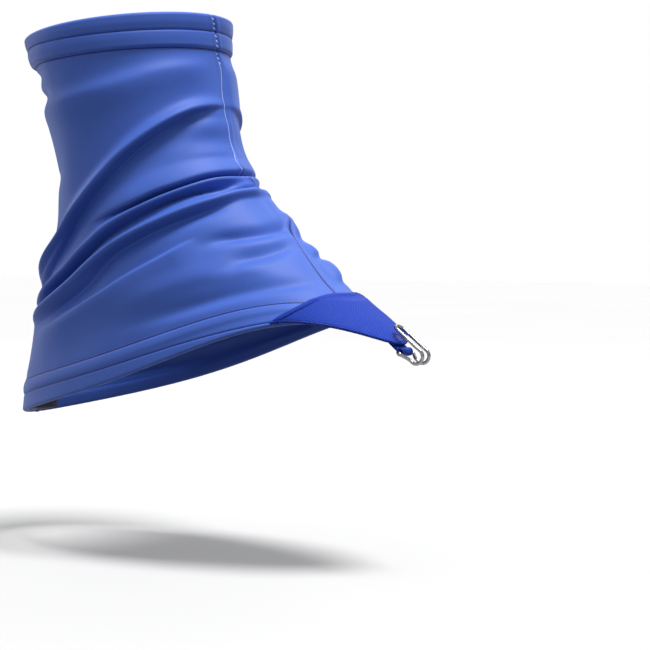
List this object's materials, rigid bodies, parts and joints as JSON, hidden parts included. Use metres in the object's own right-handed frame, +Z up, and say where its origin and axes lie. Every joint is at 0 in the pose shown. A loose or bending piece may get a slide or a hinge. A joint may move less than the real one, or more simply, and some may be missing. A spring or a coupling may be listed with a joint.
{
  "type": "running gaiter",
  "caption": "Pull-on stretch gaiter sleeve with elastic cuff and hem, a front tab with a swinging lace hook and a hook-tape heel patch.",
  "frame": {"origin": "on the leg's axis, level with the lowest point of the hem", "axes": "+X forward over the toes, +Y to the inner side of the ankle, +Z up the leg"},
  "size_m": [0.2279, 0.0932, 0.1894],
  "materials": {
    "knit": "smooth blue stretch knit",
    "webbing": "ribbed blue elastic webbing",
    "thread": "navy polyester sewing thread",
    "pale_thread": "pale blue flat-seam thread",
    "elastic": "white knitted elastic",
    "hook_tape": "black moulded hook tape",
    "steel": "polished stainless steel wire"
  },
  "bodies": {
    "sleeve": {"lateral_panel": "knit", "medial_panel": "knit", "cuff_elastic": "elastic", "hem_elastic": "elastic", "front_tab": "webbing", "hook_keeper": "webbing", "heel_patch": "hook_tape", "front_seam_thread": "pale_thread", "rear_seam_thread": "thread", "cuff_upper_stitching": "thread", "cuff_lower_stitching": "thread", "hem_upper_stitching": "thread", "hem_lower_stitching": "thread", "tab_upper_stitching": "thread", "tab_lower_stitching": "thread", "hook_bartack": "thread", "heel_patch_stitching": "thread"},
    "lace_hook": {"lace_hook": "steel"}
  },
  "joints": [
    {"name": "hook_swing", "type": "hinge", "parent": "sleeve", "child": "lace_hook", "pos_m": [0.15327, 0, 0.03629], "axis": [0, 1, 0], "range_deg": [-10, 110]}
  ]
}
